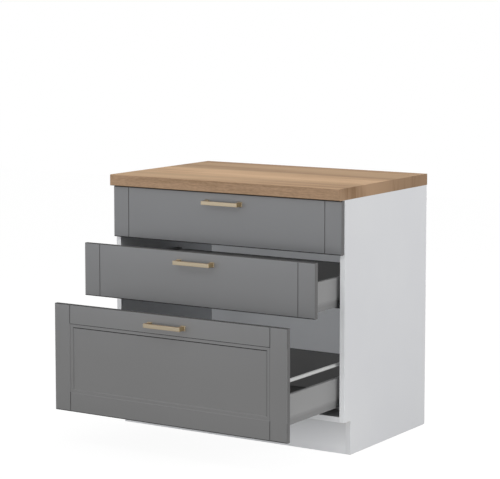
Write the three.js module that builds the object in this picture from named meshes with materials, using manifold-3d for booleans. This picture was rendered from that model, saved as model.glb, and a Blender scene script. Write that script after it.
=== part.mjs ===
// Kitchen base unit with three drawers: a white board body on a recessed plinth, an oak-look
// worktop, grey framed fronts, and steel-sided drawers on telescopic runners.
// Millimetres, +Z up. The fronts face -Y and +X is on the right.
// Origin: on the floor, at mid width, in the middle of the plinth board's thickness.

import * as THREE from 'three';
import { mergeVertices } from 'three/addons/utils/BufferGeometryUtils.js';
import Module from 'manifold-3d';

const wasm = await Module();
wasm.setup();

// ---------------------------------------------------------------- driving dimensions

// Body
const UNIT_WIDTH = 900;
const BODY_HEIGHT = 720;
const BOARD = 18;
const PLINTH_HEIGHT = 112;
const PLINTH_SETBACK = 41;
const STRETCHER_DEPTH = 90;
const BACK_SHEET = 3;
const BACK_SHEET_INSET = 2;

// Worktop
const WORKTOP_DEPTH = 600;
const WORKTOP_THICKNESS = 38;
const WORKTOP_OVERHANG = 17.5;
const WORKTOP_EDGE_RADIUS = 3;
const END_BAND = 1;

// Drawer fronts
const FRONT_THICKNESS = 16;
const FRONT_STANDOFF = 1.5;
const FRONT_SIDE_REVEAL = 2;
const FRONT_LIFT = 4;
const FRONT_GAP = 3.5;
const FRONT_TOP_REVEAL = 3;
const MIDDLE_FRONT_HEIGHT = 177.5;
const UPPER_FRONT_HEIGHT = 173;
const FRONT_EDGE_RADIUS = 3;
const STILE_WIDTH = 62.5;
const GROOVE_WIDTH = 3;
const GROOVE_DEPTH = 2;
const BEAD_WIDTH = 11;
const BEAD_DROP = 1.5;
const PANEL_DROP = 4;
const STEP_SLOPE = 2.5;

// Handles and their screws
const HANDLE_CENTRES = 128;
const HANDLE_LEG = 12;
const HANDLE_HEIGHT = 13;
const HANDLE_BAR_DEPTH = 9;
const HANDLE_PROJECTION = 30;
const HANDLE_EDGE = 0.8;
const HANDLE_BELOW_TOP = 35;
const UPPER_HANDLE_BELOW_TOP = 32.5;
const FOOT_WIDTH = 18;
const FOOT_HEIGHT = 18;
const FOOT_THICKNESS = 3;
const FOOT_CHAMFER = 1.5;
const SCREW_RADIUS = 2;
const SCREW_BITE = 8;
const SCREW_HEAD_RADIUS = 4;
const SCREW_HEAD_HEIGHT = 2.4;
const SCREW_HEAD_RIM = 1.2;
const SCREW_CROWN_RADIUS = 2.8;
const SCREW_CLEARANCE = 0.3;

// Steel drawer sides. The lower part of each side is the channel that the runner works in.
const DRAWER_LENGTH = 500;
const RUNNER_GAP = 10;
const SIDE_WIDTH = 14;
const SIDE_HEIGHT = 96;
const SIDE_SHEET = 1;
const SIDE_TOP_RADIUS = 3;
const CHANNEL_HEIGHT = 33.5;
const CHANNEL_WALL = 2;
const CHANNEL_ROOF = 1.5;
const JOGGLE_HEIGHT = 25;
const JOGGLE_DEPTH = 1;
const SHELF_WIDTH = 14;
const REAR_TAB_WIDTH = 25;
const REAR_TAB_TOP_GAP = 8;
const REAR_TAB_FLOOR_GAP = 1;
const REAR_TAB_SHEET = 1.2;

// Drawer boards
const DRAWER_BOARD = 16;
const LOW_BACK_HEIGHT = 90;
const HIGH_BACK_HEIGHT = 140;
const SIDE_ABOVE_FRONT_BOTTOM = 11.5;
const LOWER_SIDE_ABOVE_FRONT_BOTTOM = 43.5;

// Front brackets, plugged into the drawer sides
const BRACKET_LENGTH = 30;
const BRACKET_SHEET = 1.5;
const BRACKET_FLOOR_GAP = 10;
const BRACKET_TOP_GAP = 8;
const BRACKET_PLAY = 0.3;

// Runners: a cabinet member, a middle member that travels half as far, and the side's channel
const RUNNER_SETBACK = 3;
const RUNNER_SHEET = 1.5;
const RUNNER_FLANGE_HEIGHT = 35.5;
const RUNNER_LIP_HEIGHT = 17.5;
const RUNNER_LIP_GAP = 1.5;
const RUNNER_FLOOR_GAP = 2;
const MIDDLE_SHORTER = 50;
const MIDDLE_SETBACK = 20;
const MIDDLE_SHEET = 1.3;
const MIDDLE_SIDE_PLAY = 1.3;
const MIDDLE_BOTTOM = 2;
const PAD_LENGTH = 60;
const PAD_HEIGHT = 3;
const RUNNING_PLAY = 0.3;

// Gallery rails of the lower drawer
const RAIL_RADIUS = 6;
const RAIL_HEIGHT = 138;
const RAIL_SEAT_PLAY = 0.3;
const RAIL_SEAT_DEPTH = 12;
const SOCKET_WALL = 2.7;
const SOCKET_LENGTH = 15;
const SOCKET_FLANGE = 1;
const SOCKET_FLANGE_THICKNESS = 1.5;
const POST_LENGTH = 22;

// How far each drawer stands open
const UPPER_OPENING = 0;
const MIDDLE_OPENING = 165;
const LOWER_OPENING = 330;
const MIDDLE_MEMBER_SHARE = 0.5;

const ROUND_SIDES = 20;
const SMALL_ROUND_SIDES = 12;
const ARC_STEPS = 4;

// How far a cutting tool runs past the face that it cuts
const OVERSHOOT = 1;

// ---------------------------------------------------------------- places worked out from them

const halfWidth = UNIT_WIDTH / 2;
const innerHalf = halfWidth - BOARD;
const bodyBottom = PLINTH_HEIGHT;
const bodyTop = PLINTH_HEIGHT + BODY_HEIGHT;
const plinthFace = -BOARD / 2;
const bodyFront = plinthFace - PLINTH_SETBACK;
const frontBack = bodyFront - FRONT_STANDOFF;
const worktopFront = frontBack - FRONT_THICKNESS - WORKTOP_OVERHANG;
const worktopBack = worktopFront + WORKTOP_DEPTH;
const bodyBack = worktopBack - BACK_SHEET;

const frontWidth = UNIT_WIDTH - 2 * FRONT_SIDE_REVEAL;
const upperFrontBottom = bodyTop - FRONT_TOP_REVEAL - UPPER_FRONT_HEIGHT;
const middleFrontBottom = upperFrontBottom - FRONT_GAP - MIDDLE_FRONT_HEIGHT;
const lowerFrontBottom = bodyBottom + FRONT_LIFT;
const lowerFrontHeight = middleFrontBottom - FRONT_GAP - lowerFrontBottom;

// Inner faces of the steel sides, measured from mid width
const drawerHalf = innerHalf - RUNNER_GAP - SIDE_WIDTH;
const drawerFloorTop = SIDE_SHEET + DRAWER_BOARD;
const channelCentre = (SIDE_WIDTH - JOGGLE_DEPTH) / 2;

// A runner is as long as the drawer that it carries
const runnerLength = DRAWER_LENGTH;
const middleLength = runnerLength - MIDDLE_SHORTER;

// ---------------------------------------------------------------- materials

function finish(color, roughness, metalness) {
  return new THREE.MeshStandardMaterial({ color, roughness, metalness });
}

const whiteBoard = () => finish(0xe4e6e8, 0.45, 0);
const whiteSheet = () => finish(0xdfe1e3, 0.6, 0);
const oak = () => finish(0xb6956f, 0.55, 0);
const oakEnd = () => finish(0x9a7c5c, 0.6, 0);
const greyFoil = () => finish(0x7d7e80, 0.5, 0);
const graphiteBoard = () => finish(0x4a4a4b, 0.6, 0);
const greySteel = () => finish(0x9a9b9c, 0.4, 0.3);
const zincSteel = () => finish(0xa9adb0, 0.35, 0.9);
const paleBrass = () => finish(0xcdbb95, 0.35, 0.9);
const whiteTube = () => finish(0xe8e8e6, 0.35, 0.2);
const darkPlastic = () => finish(0x2c2d2f, 0.5, 0);

// ---------------------------------------------------------------- geometry helpers

// A shape drawn in X and Z, extruded from y = 0 to y = length
function alongY(shape, length, steps = ARC_STEPS) {
  const geometry = new THREE.ExtrudeGeometry(shape, {
    depth: length,
    bevelEnabled: false,
    curveSegments: steps,
  });
  return geometry.rotateX(Math.PI / 2).translate(0, length, 0);
}

// A shape drawn in Y and Z, extruded both ways from x = 0
function alongX(shape, length, steps = ARC_STEPS) {
  const geometry = new THREE.ExtrudeGeometry(shape, {
    depth: length,
    bevelEnabled: false,
    curveSegments: steps,
  });
  const turn = new THREE.Matrix4().makeBasis(
    new THREE.Vector3(0, 1, 0),
    new THREE.Vector3(0, 0, 1),
    new THREE.Vector3(1, 0, 0),
  );
  return geometry.translate(0, 0, -length / 2).applyMatrix4(turn);
}

// A shape drawn in X and Y, extruded from z = 0 to z = height
function alongZ(shape, height, steps = ARC_STEPS) {
  return new THREE.ExtrudeGeometry(shape, {
    depth: height,
    bevelEnabled: false,
    curveSegments: steps,
  });
}

function box(x0, x1, y0, y1, z0, z1) {
  const geometry = new THREE.BoxGeometry(x1 - x0, y1 - y0, z1 - z0);
  return geometry.translate((x0 + x1) / 2, (y0 + y1) / 2, (z0 + z1) / 2);
}

function outline(points) {
  const shape = new THREE.Shape();
  points.forEach(([a, b], i) => (i === 0 ? shape.moveTo(a, b) : shape.lineTo(a, b)));
  shape.closePath();
  return shape;
}

// A straight round bar along Y whose flats, not its corners, keep the given radius
function roundAlongY(radius, length, sides = ROUND_SIDES) {
  const corner = radius / Math.cos(Math.PI / sides);
  return new THREE.CylinderGeometry(corner, corner, length, sides).translate(0, length / 2, 0);
}

function toSolid(geometry) {
  const bare = geometry.clone();
  bare.deleteAttribute('normal');
  bare.deleteAttribute('uv');
  const merged = mergeVertices(bare, 1e-4);
  return new wasm.Manifold(new wasm.Mesh({
    numProp: 3,
    vertProperties: Float32Array.from(merged.attributes.position.array),
    triVerts: Uint32Array.from(merged.index.array),
  }));
}

function toGeometry(solid) {
  const mesh = solid.getMesh();
  const geometry = new THREE.BufferGeometry();
  geometry.setAttribute('position', new THREE.BufferAttribute(mesh.vertProperties, 3));
  geometry.setIndex(new THREE.BufferAttribute(mesh.triVerts, 1));
  geometry.computeVertexNormals();
  return geometry;
}

function cut(geometry, ...tools) {
  let solid = toSolid(geometry);
  for (const tool of tools) {
    solid = solid.subtract(toSolid(tool));
  }
  return toGeometry(solid);
}

function join(geometry, ...others) {
  let solid = toSolid(geometry);
  for (const other of others) {
    solid = solid.add(toSolid(other));
  }
  return toGeometry(solid);
}

function common(a, b) {
  return toGeometry(toSolid(a).intersect(toSolid(b)));
}

function piece(parent, name, geometry, material, position = [0, 0, 0]) {
  const mesh = new THREE.Mesh(geometry, material);
  mesh.name = name;
  mesh.position.set(...position);
  parent.add(mesh);
  return mesh;
}

// Both hands of a piece: 'left' lies at -X and 'right' at +X
const HANDS = [['left', -1], ['right', 1]];

// ---------------------------------------------------------------- body

// The side panel stands on the floor and is notched at the front for the toe recess
function sidePanel() {
  return alongX(outline([
    [plinthFace, 0],
    [bodyBack, 0],
    [bodyBack, bodyTop],
    [bodyFront, bodyTop],
    [bodyFront, bodyBottom],
    [plinthFace, bodyBottom],
  ]), BOARD);
}

function buildBody(parent) {
  for (const [hand, sign] of HANDS) {
    const x = sign * (halfWidth - BOARD / 2);
    piece(parent, `side_panel_${hand}`, sidePanel(), whiteBoard(), [x, 0, 0]);
  }
  const span = [-innerHalf, innerHalf];
  piece(parent, 'bottom_panel',
    box(...span, bodyFront, bodyBack, bodyBottom, bodyBottom + BOARD), whiteBoard());
  piece(parent, 'front_stretcher',
    box(...span, bodyFront, bodyFront + STRETCHER_DEPTH, bodyTop - BOARD, bodyTop), whiteBoard());
  piece(parent, 'rear_stretcher',
    box(...span, bodyBack - STRETCHER_DEPTH, bodyBack, bodyTop - BOARD, bodyTop), whiteBoard());
  piece(parent, 'plinth_board',
    box(...span, plinthFace, plinthFace + BOARD, 0, PLINTH_HEIGHT), whiteBoard());
  const sheetHalf = halfWidth - BACK_SHEET_INSET;
  piece(parent, 'back_panel',
    box(-sheetHalf, sheetHalf, bodyBack, bodyBack + BACK_SHEET,
      bodyBottom + BACK_SHEET_INSET, bodyTop - BACK_SHEET_INSET), whiteSheet());
}

// ---------------------------------------------------------------- worktop

// Section of the worktop, its front edge rounded above and below
function worktopSection() {
  const r = WORKTOP_EDGE_RADIUS;
  const y0 = worktopFront;
  const y1 = worktopBack;
  const z0 = bodyTop;
  const z1 = bodyTop + WORKTOP_THICKNESS;
  const shape = new THREE.Shape();
  shape.moveTo(y1, z0);
  shape.lineTo(y1, z1);
  shape.lineTo(y0 + r, z1);
  shape.absarc(y0 + r, z1 - r, r, Math.PI / 2, Math.PI, false);
  shape.lineTo(y0, z0 + r);
  shape.absarc(y0 + r, z0 + r, r, Math.PI, 1.5 * Math.PI, false);
  shape.closePath();
  return shape;
}

function buildWorktop(parent) {
  piece(parent, 'worktop', alongX(worktopSection(), UNIT_WIDTH - 2 * END_BAND), oak());
  for (const [hand, sign] of HANDS) {
    const x = sign * (halfWidth - END_BAND / 2);
    piece(parent, `worktop_end_band_${hand}`, alongX(worktopSection(), END_BAND), oakEnd(), [x, 0, 0]);
  }
}

// ---------------------------------------------------------------- drawer fronts

// Local frame of a front: x = 0 at mid width, y = 0 at its back face, z = 0 at its bottom edge

// A board whose four outer front edges are rounded
function frontBlank(height) {
  const r = FRONT_EDGE_RADIUS;
  const t = FRONT_THICKNESS;
  const upright = new THREE.Shape();
  upright.moveTo(0, 0);
  upright.lineTo(0, height);
  upright.lineTo(-t + r, height);
  upright.absarc(-t + r, height - r, r, Math.PI / 2, Math.PI, false);
  upright.lineTo(-t, r);
  upright.absarc(-t + r, r, r, Math.PI, 1.5 * Math.PI, false);
  upright.closePath();
  const half = frontWidth / 2;
  const plan = new THREE.Shape();
  plan.moveTo(half, 0);
  plan.lineTo(-half, 0);
  plan.lineTo(-half, -t + r);
  plan.absarc(-half + r, -t + r, r, Math.PI, 1.5 * Math.PI, false);
  plan.lineTo(half - r, -t);
  plan.absarc(half - r, -t + r, r, 1.5 * Math.PI, 2 * Math.PI, false);
  plan.closePath();
  return common(alongX(upright, frontWidth), alongZ(plan, height));
}

// V-groove along Z that marks the joint of stile and rail
function jointGroove(x, z0, z1) {
  const half = GROOVE_WIDTH / 2 * (1 + OVERSHOOT / GROOVE_DEPTH);
  const face = -FRONT_THICKNESS;
  const groove = alongZ(outline([
    [x, face + GROOVE_DEPTH],
    [x - half, face - OVERSHOOT],
    [x + half, face - OVERSHOOT],
  ]), z1 - z0);
  return groove.translate(0, 0, z0);
}

// A shallow tray with sloping sides, cut back into the front's face
function tray(inset, depth, height) {
  const slope = STEP_SLOPE / PANEL_DROP;
  const out = OVERSHOOT * slope;
  const run = depth * slope;
  const face = -FRONT_THICKNESS;
  const half = frontWidth / 2 - inset;
  const upright = outline([
    [face - OVERSHOOT, inset - out],
    [face + depth, inset + run],
    [face + depth, height - inset - run],
    [face - OVERSHOOT, height - inset + out],
  ]);
  const plan = outline([
    [-half - out, face - OVERSHOOT],
    [half + out, face - OVERSHOOT],
    [half - run, face + depth],
    [-half + run, face + depth],
  ]);
  return common(alongX(upright, frontWidth), alongZ(plan, height));
}

function screwHoles(z) {
  const radius = SCREW_RADIUS + SCREW_CLEARANCE;
  const length = FRONT_THICKNESS + 2 * OVERSHOOT;
  return HANDS.map(([, sign]) => roundAlongY(radius, length, SMALL_ROUND_SIDES)
    .translate(sign * HANDLE_CENTRES / 2, -FRONT_THICKNESS - OVERSHOOT, z));
}

// A low front has two joint grooves over its full height. A framed front has rails as well, whose
// stepped inner bead surrounds a sunk panel.
function drawerFront(height, handleDrop, framed) {
  const grooveX = frontWidth / 2 - STILE_WIDTH;
  const cuts = screwHoles(height - handleDrop);
  for (const [, sign] of HANDS) {
    if (framed) {
      cuts.push(jointGroove(sign * grooveX, -OVERSHOOT, STILE_WIDTH));
      cuts.push(jointGroove(sign * grooveX, height - STILE_WIDTH, height + OVERSHOOT));
    } else {
      cuts.push(jointGroove(sign * grooveX, -OVERSHOOT, height + OVERSHOOT));
    }
  }
  if (framed) {
    cuts.push(tray(STILE_WIDTH, BEAD_DROP, height));
    cuts.push(tray(STILE_WIDTH + BEAD_WIDTH, PANEL_DROP, height));
  }
  return cut(frontBlank(height), ...cuts);
}

// ---------------------------------------------------------------- handles

// Local frame: x = 0 and z = 0 at the handle's centre, y = 0 on the front's face

function handle() {
  const half = HANDLE_CENTRES / 2;
  const outer = half + HANDLE_LEG / 2;
  const inner = half - HANDLE_LEG / 2;
  const e = HANDLE_EDGE;
  const bow = outline([
    [-outer, -FOOT_THICKNESS],
    [-outer, -HANDLE_PROJECTION + e],
    [-outer + e, -HANDLE_PROJECTION],
    [outer - e, -HANDLE_PROJECTION],
    [outer, -HANDLE_PROJECTION + e],
    [outer, -FOOT_THICKNESS],
    [inner, -FOOT_THICKNESS],
    [inner, -HANDLE_PROJECTION + HANDLE_BAR_DEPTH],
    [-inner, -HANDLE_PROJECTION + HANDLE_BAR_DEPTH],
    [-inner, -FOOT_THICKNESS],
  ]);
  const bar = alongZ(bow, HANDLE_HEIGHT).translate(0, 0, -HANDLE_HEIGHT / 2);
  const feet = HANDS.map(([, sign]) => foot().translate(sign * half, 0, 0));
  const boreDepth = SCREW_BITE + SCREW_CLEARANCE;
  const bores = HANDS.map(([, sign]) => roundAlongY(SCREW_RADIUS + SCREW_CLEARANCE,
    boreDepth + OVERSHOOT, SMALL_ROUND_SIDES).translate(sign * half, -boreDepth, 0));
  return cut(join(bar, ...feet), ...bores);
}

// Square foot of a handle leg, with its outer edges chamfered
function foot() {
  const w = FOOT_WIDTH / 2;
  const h = FOOT_HEIGHT / 2;
  const t = FOOT_THICKNESS;
  const c = FOOT_CHAMFER;
  const plan = outline([[-w, 0], [-w, c - t], [-w + c, -t], [w - c, -t], [w, c - t], [w, 0]]);
  const upright = outline([[0, -h], [0, h], [c - t, h], [-t, h - c], [-t, -h + c], [c - t, -h]]);
  return common(alongZ(plan, FOOT_HEIGHT).translate(0, 0, -h), alongX(upright, FOOT_WIDTH));
}

// Pan-head screw: its head lies on the front's back face, its shank ends in the handle's leg
function handleScrew() {
  const reach = FRONT_THICKNESS + SCREW_BITE;
  const profile = [
    [0, -reach],
    [SCREW_RADIUS, -reach],
    [SCREW_RADIUS, 0],
    [SCREW_HEAD_RADIUS, 0],
    [SCREW_HEAD_RADIUS, SCREW_HEAD_RIM],
    [SCREW_CROWN_RADIUS, SCREW_HEAD_HEIGHT],
    [0, SCREW_HEAD_HEIGHT],
  ].map(([r, y]) => new THREE.Vector2(r, y));
  return new THREE.LatheGeometry(profile, SMALL_ROUND_SIDES);
}

// ---------------------------------------------------------------- steel drawer sides and runners

// Section coordinates: u runs outwards from the side's inner face, v upwards from its lower edge.
// Local frame of a drawer: x = 0 at mid width, y = 0 at the front's back face, z = 0 at v = 0.

function sectionX(sign, u) {
  return sign * (drawerHalf + u);
}

function section(sign, points) {
  return points.map(([u, v]) => [sectionX(sign, u), v]);
}

// Double-walled side: a closed cell above, the runner's channel below, a shelf for the floor
function sideSection(sign) {
  const w = SIDE_WIDTH;
  const r = SIDE_TOP_RADIUS;
  const at = (u, v) => [sectionX(sign, u), v];
  const steps = Array.from({ length: ARC_STEPS + 1 }, (_, i) => (i / ARC_STEPS) * Math.PI / 2);
  const outerTop = steps.map((a) => at(w - r + r * Math.cos(a), SIDE_HEIGHT - r + r * Math.sin(a)));
  const innerTop = steps.map((a) => at(r - r * Math.sin(a), SIDE_HEIGHT - r + r * Math.cos(a)));
  const shape = outline([
    at(w - JOGGLE_DEPTH, 0),
    at(w - JOGGLE_DEPTH, JOGGLE_HEIGHT - JOGGLE_DEPTH),
    at(w, JOGGLE_HEIGHT),
    ...outerTop,
    ...innerTop,
    at(0, SIDE_SHEET),
    at(-SHELF_WIDTH, SIDE_SHEET),
    at(-SHELF_WIDTH, 0),
    at(CHANNEL_WALL, 0),
    at(CHANNEL_WALL, CHANNEL_HEIGHT),
    at(w - JOGGLE_DEPTH - CHANNEL_WALL, CHANNEL_HEIGHT),
    at(w - JOGGLE_DEPTH - CHANNEL_WALL, 0),
  ]);
  const s = SIDE_SHEET;
  const floor = CHANNEL_HEIGHT + CHANNEL_ROOF;
  const cell = [
    at(s, floor),
    at(s, SIDE_HEIGHT - r),
    at(r, SIDE_HEIGHT - s),
    at(w - r, SIDE_HEIGHT - s),
    at(w - s, SIDE_HEIGHT - r),
    at(w - s, floor),
  ];
  shape.holes.push(new THREE.Path(cell.map(([x, z]) => new THREE.Vector2(x, z))));
  return shape;
}

// The side with the tab at its rear end that the back board is screwed to
function drawerSide(sign) {
  const tabTop = LOW_BACK_HEIGHT - REAR_TAB_TOP_GAP;
  const tabBottom = drawerFloorTop + REAR_TAB_FLOOR_GAP;
  const tab = outline(section(sign, [
    [-REAR_TAB_WIDTH, tabBottom],
    [SIDE_SHEET / 2, tabBottom],
    [SIDE_SHEET / 2, tabTop],
    [-REAR_TAB_WIDTH, tabTop],
  ]));
  return join(
    alongY(sideSection(sign), DRAWER_LENGTH),
    alongY(tab, REAR_TAB_SHEET).translate(0, DRAWER_LENGTH - REAR_TAB_SHEET, 0),
  );
}

// U-shaped bracket: its web is screwed to the front and its legs plug into the side's closed cell
function frontBracket(sign) {
  const u0 = SIDE_SHEET + BRACKET_PLAY;
  const u1 = SIDE_WIDTH - SIDE_SHEET - BRACKET_PLAY;
  const s = BRACKET_SHEET;
  const plan = outline([
    [sectionX(sign, u0), 0],
    [sectionX(sign, u1), 0],
    [sectionX(sign, u1), BRACKET_LENGTH],
    [sectionX(sign, u1 - s), BRACKET_LENGTH],
    [sectionX(sign, u1 - s), s],
    [sectionX(sign, u0 + s), s],
    [sectionX(sign, u0 + s), BRACKET_LENGTH],
    [sectionX(sign, u0), BRACKET_LENGTH],
  ]);
  const bottom = CHANNEL_HEIGHT + CHANNEL_ROOF + BRACKET_FLOOR_GAP;
  const top = SIDE_HEIGHT - BRACKET_TOP_GAP;
  return alongZ(plan, top - bottom).translate(0, 0, bottom);
}

// Heights of the runner's nested tracks
const middleRoof = CHANNEL_HEIGHT - RUNNING_PLAY - PAD_HEIGHT;
const trackTop = middleRoof - MIDDLE_SHEET - PAD_HEIGHT - RUNNING_PLAY;

// Cabinet member: a flange on the cabinet side, a floor under the drawer side, a stiffening lip
// and the upright track that the middle member rides on
function cabinetMember(sign) {
  const s = RUNNER_SHEET;
  const wall = RUNNER_GAP + SIDE_WIDTH;
  const top = -RUNNER_FLOOR_GAP;
  const low = top - s;
  const lip = SIDE_WIDTH + RUNNER_LIP_GAP;
  const track = channelCentre - s / 2;
  return alongY(outline(section(sign, [
    [track, low],
    [wall, low],
    [wall, low + RUNNER_FLANGE_HEIGHT],
    [wall - s, low + RUNNER_FLANGE_HEIGHT],
    [wall - s, top],
    [lip + s, top],
    [lip + s, low + RUNNER_LIP_HEIGHT],
    [lip, low + RUNNER_LIP_HEIGHT],
    [lip, top],
    [track + s, top],
    [track + s, trackTop],
    [track, trackTop],
  ])), runnerLength);
}

// Middle member: an inverted channel over the track, with glide pads at both ends, above and
// below its roof
function middleMember(sign) {
  const u0 = CHANNEL_WALL + MIDDLE_SIDE_PLAY;
  const u1 = SIDE_WIDTH - JOGGLE_DEPTH - CHANNEL_WALL - MIDDLE_SIDE_PLAY;
  const s = MIDDLE_SHEET;
  const body = alongY(outline(section(sign, [
    [u0, MIDDLE_BOTTOM],
    [u0, middleRoof],
    [u1, middleRoof],
    [u1, MIDDLE_BOTTOM],
    [u1 - s, MIDDLE_BOTTOM],
    [u1 - s, middleRoof - s],
    [u0 + s, middleRoof - s],
    [u0 + s, MIDDLE_BOTTOM],
  ])), middleLength);
  const pad = () => alongY(outline(section(sign, [
    [u0 + s / 2, middleRoof - s - PAD_HEIGHT],
    [u1 - s / 2, middleRoof - s - PAD_HEIGHT],
    [u1 - s / 2, middleRoof + PAD_HEIGHT],
    [u0 + s / 2, middleRoof + PAD_HEIGHT],
  ])), PAD_LENGTH);
  return join(body, pad(), pad().translate(0, middleLength - PAD_LENGTH, 0));
}

// ---------------------------------------------------------------- gallery rails

const railU = SIDE_WIDTH / 2;

// Cup on the front's back face that holds the rail's front end
function railSocket() {
  const bore = (RAIL_RADIUS + RAIL_SEAT_PLAY) / Math.cos(Math.PI / ROUND_SIDES);
  const bottom = SOCKET_LENGTH - RAIL_SEAT_DEPTH;
  const wall = bore + SOCKET_WALL;
  const profile = [
    [0, 0],
    [wall + SOCKET_FLANGE, 0],
    [wall + SOCKET_FLANGE, SOCKET_FLANGE_THICKNESS],
    [wall, SOCKET_FLANGE_THICKNESS + SOCKET_FLANGE],
    [wall, SOCKET_LENGTH],
    [bore, SOCKET_LENGTH],
    [bore, bottom],
    [0, bottom],
  ].map(([r, y]) => new THREE.Vector2(r, y));
  return new THREE.LatheGeometry(profile, ROUND_SIDES);
}

// Post on the side's rear end that holds the rail's rear end, with a half-round head
function railPost(sign) {
  const half = SIDE_WIDTH / 2;
  const centre = sectionX(sign, railU);
  const shape = new THREE.Shape();
  shape.moveTo(centre - half, SIDE_HEIGHT);
  shape.lineTo(centre + half, SIDE_HEIGHT);
  shape.lineTo(centre + half, RAIL_HEIGHT);
  shape.absarc(centre, RAIL_HEIGHT, half, 0, Math.PI, false);
  shape.closePath();
  const y0 = DRAWER_LENGTH - POST_LENGTH;
  const seat = roundAlongY(RAIL_RADIUS + RAIL_SEAT_PLAY, RAIL_SEAT_DEPTH + OVERSHOOT)
    .translate(centre, y0 - OVERSHOOT, RAIL_HEIGHT);
  return cut(alongY(shape, POST_LENGTH, 2 * ARC_STEPS).translate(0, y0, 0), seat);
}

function buildRails(drawer, label) {
  const y0 = SOCKET_LENGTH - RAIL_SEAT_DEPTH + RAIL_SEAT_PLAY;
  const y1 = DRAWER_LENGTH - POST_LENGTH + RAIL_SEAT_DEPTH - RAIL_SEAT_PLAY;
  for (const [hand, sign] of HANDS) {
    const centre = [sectionX(sign, railU), 0, RAIL_HEIGHT];
    const tube = new THREE.CylinderGeometry(RAIL_RADIUS, RAIL_RADIUS, y1 - y0, ROUND_SIDES);
    piece(drawer, `${label}_rail_${hand}`, tube.translate(0, (y0 + y1) / 2, 0), whiteTube(), centre);
    piece(drawer, `${label}_rail_socket_${hand}`, railSocket(), darkPlastic(), centre);
    piece(drawer, `${label}_rail_post_${hand}`, railPost(sign), darkPlastic());
  }
}

// ---------------------------------------------------------------- drawers

function buildDrawer(parent, drawerSpec) {
  const { label, height, frontBottom, handleDrop, sideLift, backHeight, framed, opening } = drawerSpec;
  const level = frontBottom + sideLift;
  const drawer = new THREE.Group();
  drawer.position.set(0, frontBack - opening, level);
  parent.add(drawer);

  piece(drawer, `${label}_front`, drawerFront(height, handleDrop, framed), greyFoil(), [0, 0, -sideLift]);
  const handleZ = height - handleDrop - sideLift;
  piece(drawer, `${label}_handle`, handle(), paleBrass(), [0, -FRONT_THICKNESS, handleZ]);
  for (const [hand, sign] of HANDS) {
    piece(drawer, `${label}_handle_screw_${hand}`, handleScrew(), zincSteel(),
      [sign * HANDLE_CENTRES / 2, 0, handleZ]);
    piece(drawer, `${label}_side_${hand}`, drawerSide(sign), greySteel());
    piece(drawer, `${label}_front_bracket_${hand}`, frontBracket(sign), zincSteel());
  }

  const rear = DRAWER_LENGTH - REAR_TAB_SHEET;
  piece(drawer, `${label}_bottom`,
    box(-drawerHalf, drawerHalf, 0, rear, SIDE_SHEET, drawerFloorTop), graphiteBoard());
  piece(drawer, `${label}_back`,
    box(-drawerHalf, drawerHalf, rear - DRAWER_BOARD, rear, drawerFloorTop, backHeight), graphiteBoard());
  if (framed) {
    buildRails(drawer, label);
  }

  const middleY = bodyFront + MIDDLE_SETBACK - opening * MIDDLE_MEMBER_SHARE;
  for (const [hand, sign] of HANDS) {
    piece(parent, `${label}_runner_cabinet_${hand}`, cabinetMember(sign), zincSteel(),
      [0, bodyFront + RUNNER_SETBACK, level]);
    piece(parent, `${label}_runner_middle_${hand}`, middleMember(sign), zincSteel(),
      [0, middleY, level]);
  }
}

const DRAWERS = [
  {
    label: 'upper',
    height: UPPER_FRONT_HEIGHT,
    frontBottom: upperFrontBottom,
    handleDrop: UPPER_HANDLE_BELOW_TOP,
    sideLift: SIDE_ABOVE_FRONT_BOTTOM,
    backHeight: LOW_BACK_HEIGHT,
    framed: false,
    opening: UPPER_OPENING,
  },
  {
    label: 'middle',
    height: MIDDLE_FRONT_HEIGHT,
    frontBottom: middleFrontBottom,
    handleDrop: HANDLE_BELOW_TOP,
    sideLift: SIDE_ABOVE_FRONT_BOTTOM,
    backHeight: LOW_BACK_HEIGHT,
    framed: false,
    opening: MIDDLE_OPENING,
  },
  {
    label: 'lower',
    height: lowerFrontHeight,
    frontBottom: lowerFrontBottom,
    handleDrop: HANDLE_BELOW_TOP,
    sideLift: LOWER_SIDE_ABOVE_FRONT_BOTTOM,
    backHeight: HIGH_BACK_HEIGHT,
    framed: true,
    opening: LOWER_OPENING,
  },
];

// ---------------------------------------------------------------- the whole unit

const group = new THREE.Group();
buildBody(group);
buildWorktop(group);
for (const drawerSpec of DRAWERS) {
  buildDrawer(group, drawerSpec);
}

export default group;
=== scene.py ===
"""Looks of a kitchen base unit: a white board body, an oak-look worktop, grey framed fronts and
steel drawers.

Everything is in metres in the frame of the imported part: +Z is up, the fronts face -Y, and +X is
on the right.
"""
import math

import bmesh
import bpy
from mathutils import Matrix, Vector


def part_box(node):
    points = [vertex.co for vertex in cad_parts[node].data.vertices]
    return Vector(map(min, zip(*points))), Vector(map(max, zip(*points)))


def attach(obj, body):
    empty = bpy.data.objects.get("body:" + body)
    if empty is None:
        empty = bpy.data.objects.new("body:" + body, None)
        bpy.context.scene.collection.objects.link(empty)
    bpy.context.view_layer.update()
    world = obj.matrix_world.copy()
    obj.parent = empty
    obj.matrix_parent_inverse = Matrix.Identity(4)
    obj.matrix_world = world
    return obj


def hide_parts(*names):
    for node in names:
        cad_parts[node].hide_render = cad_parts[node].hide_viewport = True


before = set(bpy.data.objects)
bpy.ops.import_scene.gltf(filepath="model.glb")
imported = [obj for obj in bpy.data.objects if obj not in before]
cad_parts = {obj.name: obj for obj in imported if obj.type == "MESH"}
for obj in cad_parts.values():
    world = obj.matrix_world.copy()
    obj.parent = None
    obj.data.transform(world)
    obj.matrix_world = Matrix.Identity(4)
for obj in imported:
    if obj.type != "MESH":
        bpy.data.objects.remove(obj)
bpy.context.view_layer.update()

MM = 0.001

# ---------------------------------------------------------------- camera

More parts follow.
